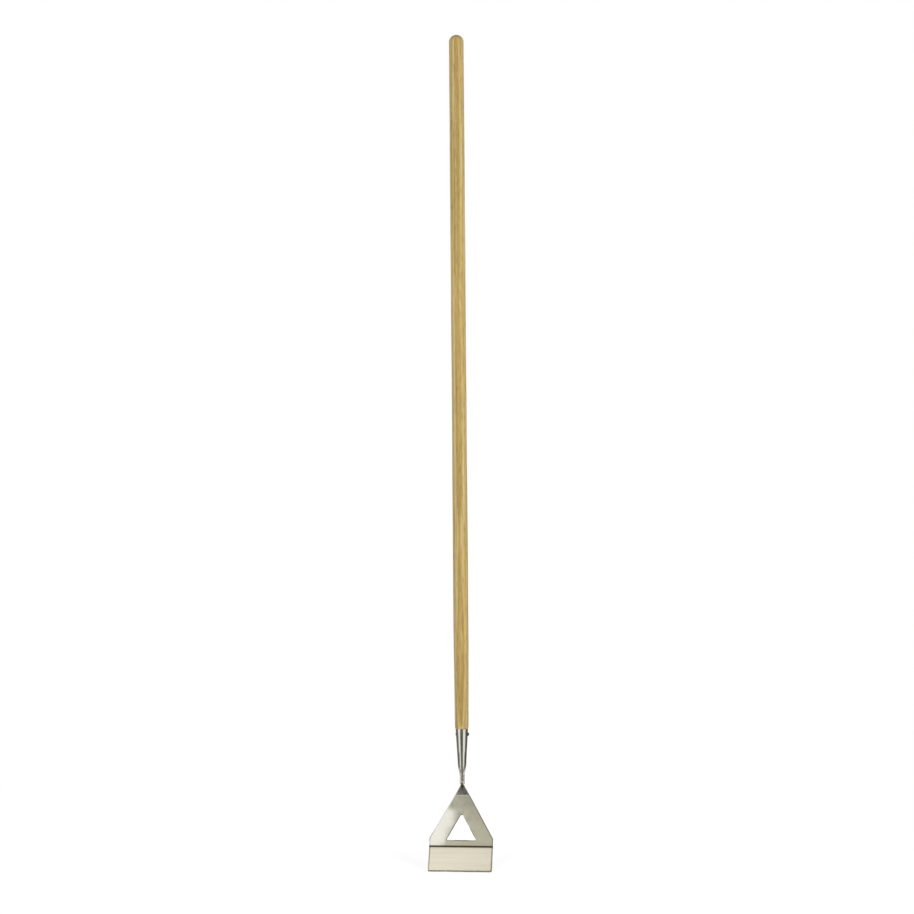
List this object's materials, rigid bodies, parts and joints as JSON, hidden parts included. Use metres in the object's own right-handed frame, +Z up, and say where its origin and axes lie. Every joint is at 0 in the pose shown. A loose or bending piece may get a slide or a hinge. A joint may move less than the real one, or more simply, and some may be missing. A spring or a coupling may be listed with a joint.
{
  "type": "dutch hoe",
  "caption": "Long-handled push hoe: straight ash handle in a pinched stainless socket, triangular open head plate and a wide bevelled blade for cutting weeds just under the soil.",
  "frame": {"origin": "on the handle's axis, at the lower end of the straight shaft, where the taper to the socket begins", "axes": "+Z up along the handle to its domed end, -Y the way the blade points, +X to the right seen from the blade's side"},
  "size_m": [0.123, 0.0947, 1.6133],
  "materials": {
    "ash": "satin lacquer over straight-grained ash",
    "polished_steel": "polished stainless steel",
    "satin_steel": "satin stainless steel, ground across the blade",
    "rivet_steel": "dull steel",
    "weld": "unpolished weld with heat tint"
  },
  "bodies": {
    "root": {"ash_handle": "ash", "socket": "polished_steel", "socket_rivet": "rivet_steel", "head_frame": "polished_steel", "neck_weld": "weld", "blade": "satin_steel", "blade_weld": "weld"}
  },
  "joints": []
}
